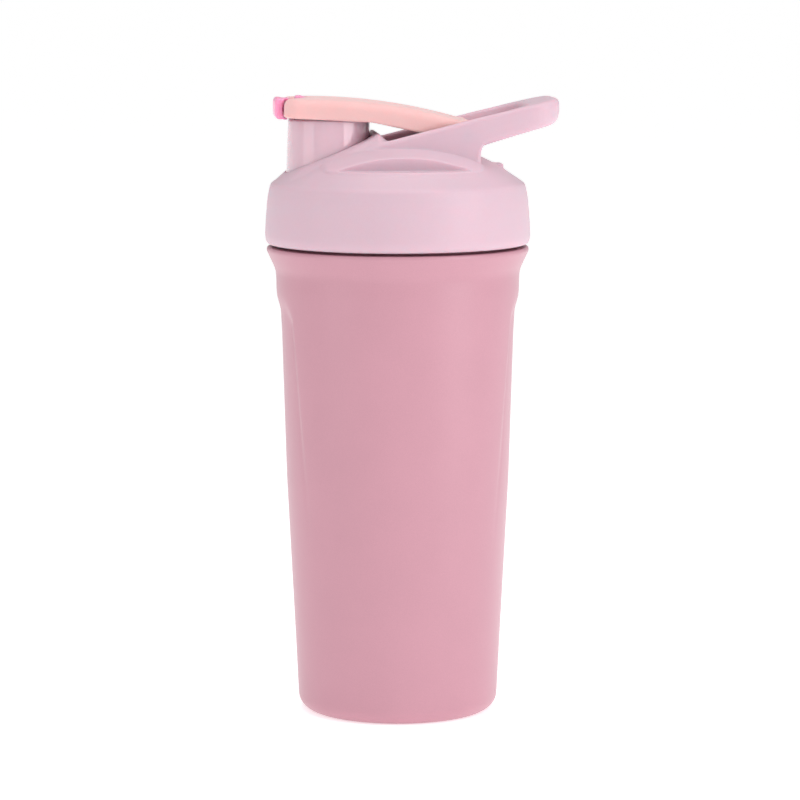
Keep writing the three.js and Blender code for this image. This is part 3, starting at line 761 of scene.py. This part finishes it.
def cap_inner(step=0.34):
    """The panel under the skin, which holds the spout's plug and both ends of the hinge."""
    space = Space((-38, -17, 209), (30, 17, 230), step)
    fit = 1.5 + GAP
    top, under, plan = cap_fields(space, fit)
    band = both(both(top + 4.6 - fit, under + 0.4, 0.6), plan, 0.6)
    band = both(band, -36 - space.x, 0.4)
    band = both(band, space.x - HINGE_X + 1, 0.4)
    barrel = space.bar(HINGE_X, HINGE_Z, 3.2, CAP_HALF - fit, 0.3)
    panel = blend(band, barrel, 1.2)
    for radius, high in ((13.0, 225.6), (15.7, 223.4)):
        room = both(np.hypot(space.x - SPOUT_X, space.y) - radius, space.z - high, 0.2)
        panel = carve(panel, room, 0.3)
    coil_room = space.box((HINGE_X - 8.5, -4, HINGE_Z - 7), (HINGE_X + 7, 4, HINGE_Z + 3.1))
    panel = carve(panel, coil_room, 0.3)
    for y in (-10, 10):
        pocket = space.box((-6, y - 4, 200), (10, y + 4, 217.6), 1)
        panel = carve(panel, pocket, 0.4)
    panel = carve(panel, space.bar(HINGE_X, HINGE_Z, 1.5, 20), 0.2)
    finish_piece(space.mesh("cap_panel", panel), SPOUT, "cap", ["cap_inner"], smooth_angle=60)


def spout_seal():
    profile = soften([(0, 220.6), (11.6, 220.6, 0.7), (12.5, 221.4, 0.6), (12.5, 225.3, 0.4),
                      (0, 225.3)])
    dish = [(0, 221.5), (8.2, 221.5), (9.0, 220.6)]
    profile = np.concatenate([dish, profile[1:]])
    finish_piece(turned("spout_plug", profile, 96, SPOUT_X), SILICONE, "cap", ["spout_seal"])


def release_button(step=0.16):
    """The button: a thumb face, a stem round its pin, a catch tooth and a tongue on top."""
    low, high = button_low, button_high
    half = (high[1] - low[1]) / 2
    back = -42.4
    space = Space((low[0] - 1, -half - 1, low[2] - 1), (-38.5, half + 1, high[2] + 1), step)
    face = space.slab(space.side(soften([
        (low[0], low[2] + 0.4, 2.2), (back, low[2] + 0.4, 0.7), (back, high[2] - 0.6, 0.7),
        (low[0], high[2], 2.4),
    ])), half, 1.4)
    groove = np.hypot(space.x - (back - 0.1), (space.z - 226.7) * 0.32) - 0.75
    face = carve(face, space.slab(groove, half + 2), 0.7)
    stem = space.box((back - 0.5, -4.4, ROCKER_Z - 1.5), (ROCKER_X + 1.5, 4.4, ROCKER_Z + 1.5), 0.3)
    tooth = space.box((back - 0.5, -2.6, 222.6), (ROCKER_X, 2.6, 223.4), 0.15)
    tongue = space.box((back - 1, -3.6, high[2] - 1.5), (-40.6, 3.6, high[2] - 0.4), 0.3)
    shape = face
    for part in (stem, tooth, tongue):
        shape = blend(shape, part, 0.3)
    shape = carve(shape, space.bar(ROCKER_X, ROCKER_Z, 0.95, 20), 0.1)
    coil_room = space.box((ROCKER_X - 1.9, -2.1, ROCKER_Z - 2), (ROCKER_X + 3, 2.1, ROCKER_Z + 2.1))
    shape = carve(shape, coil_room, 0.2)
    finish_piece(space.mesh("button_face", shape), ACCENT, "button", ["release_button"],
                 smooth_angle=60)


def lock_slider(step=0.14):
    """The lock: a ribbed nub on a base, with a leg that reaches down to the button's tongue."""
    low, high = low_high("lock_slider")
    space = Space(low - 0.6, high + 0.6, step)
    top = cap_top(low[0])
    base = space.box((low[0], low[1], top - 0.9), (high[0], high[1], top - 0.1), 0.3)
    nub = space.slab(space.side(soften([
        (low[0], top - 0.6), (low[0] + 3, top - 0.6), (low[0] + 2.7, high[2], 0.5),
        (low[0] + 0.4, high[2], 0.5),
    ])), 3, 0.5)
    leg = space.box((low[0] + 0.4, -1.2, low[2]), (high[0] - 1, 1.2, top - 0.5), 0.2)
    shape = blend(blend(base, nub, 0.3), leg, 0.3)
    for x in (0.9, 1.6, 2.3):
        ridge = np.hypot(space.x - low[0] - x, space.z - high[2]) - 0.18
        shape = carve(shape, ridge, 0.12)
    finish_piece(space.mesh("lock_tab", shape), ACCENT, "lock", ["lock_slider"], smooth_angle=60)


# ---- studio -----------------------------------------------------------------------------------


def look_at(thing, target):
    """Points a light at a place."""
    thing.rotation_mode = "QUATERNION"
    thing.rotation_quaternion = (Vector(target) - thing.location).to_track_quat("-Z", "Y")


def area_light(name, place, target, size, power):
    light = bpy.data.lights.new(name, "AREA")
    light.shape = "RECTANGLE"
    light.size, light.size_y = size
    light.energy = power
    made = bpy.data.objects.new(name, light)
    bpy.context.scene.collection.objects.link(made)
    made.location = place
    look_at(made, target)


def studio():
    """White paper, a white world and three softboxes."""
    scene = bpy.context.scene
    scene.view_settings.view_transform = "Standard"
    world = bpy.data.worlds.new("studio")
    world.use_nodes = True
    scene.world = world
    background = world.node_tree.nodes["Background"]
    background.inputs["Color"].default_value = (1, 1, 1, 1)
    background.inputs["Strength"].default_value = 0.55

    floor = mesh_object("floor", np.array([(-1, -1, 0), (1, -1, 0), (1, 1, 0), (-1, 1, 0)]) * 3e4,
                        [(0, 1, 2, 3)])
    paper = bpy.data.materials.new("white_paper")
    paper.use_nodes = True
    shader = paper.node_tree.nodes["Principled BSDF"]
    shader.inputs["Base Color"].default_value = (0.9, 0.9, 0.9, 1)
    shader.inputs["Roughness"].default_value = 0.9
    shader.inputs["Emission Color"].default_value = (1, 1, 1, 1)
    shader.inputs["Emission Strength"].default_value = 0.5
    floor.data.materials.append(paper)

    middle = (0, 0, 0.15)
    area_light("right_softbox", (0.80, -0.60, 0.45), middle, (0.6, 1.3), 6.0)
    area_light("left_softbox", (-0.88, -0.47, 0.45), middle, (0.6, 1.3), 2.4)
    area_light("overhead", (0.0, -0.1, 1.1), middle, (0.8, 0.8), 4)


def camera():
    """A long lens a little above the bottle, a few degrees round towards the spout."""
    turn, distance, height = math.radians(-4.6), 1.33, 0.287
    data = bpy.data.cameras.new("camera")
    data.lens, data.sensor_width = 160.45, 36
    made = bpy.data.objects.new("camera", data)
    bpy.context.scene.collection.objects.link(made)
    made.location = (math.sin(turn) * distance, -math.cos(turn) * distance, height)
    data.shift_x = 0.0029
    down = math.radians(7.28)
    ahead = Vector((-math.sin(turn) * math.cos(down), math.cos(turn) * math.cos(down),
                    -math.sin(down)))
    made.rotation_mode = "QUATERNION"
    made.rotation_quaternion = ahead.to_track_quat("-Z", "Y")
    data.clip_start, data.clip_end = 0.05, 80
    bpy.context.scene.camera = made


camera()
studio()
outer_shell()
inner_liner()
base_pad()
whisk()
lid_shell()
lid_core()
ring_seal()
pins()
coil("cap_coil", "cap_spring", "lid", HINGE_X, HINGE_Z, 2.0, 2.6, 4.5, (6, 7), 0.35)
flip_cap()
cap_inner()
spout_seal()
release_button()
coil("button_coil", "button_spring", "cap", ROCKER_X, ROCKER_Z, 1.35, 1.6, 3.5, (-0.4, -0.4), 0.2)
lock_slider()
for node, coat in (("bottom_plate", STEEL), ("vacuum_seal_bead", SOLDER), ("getter_disc", STEEL)):
    coat_with(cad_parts[node], coat)
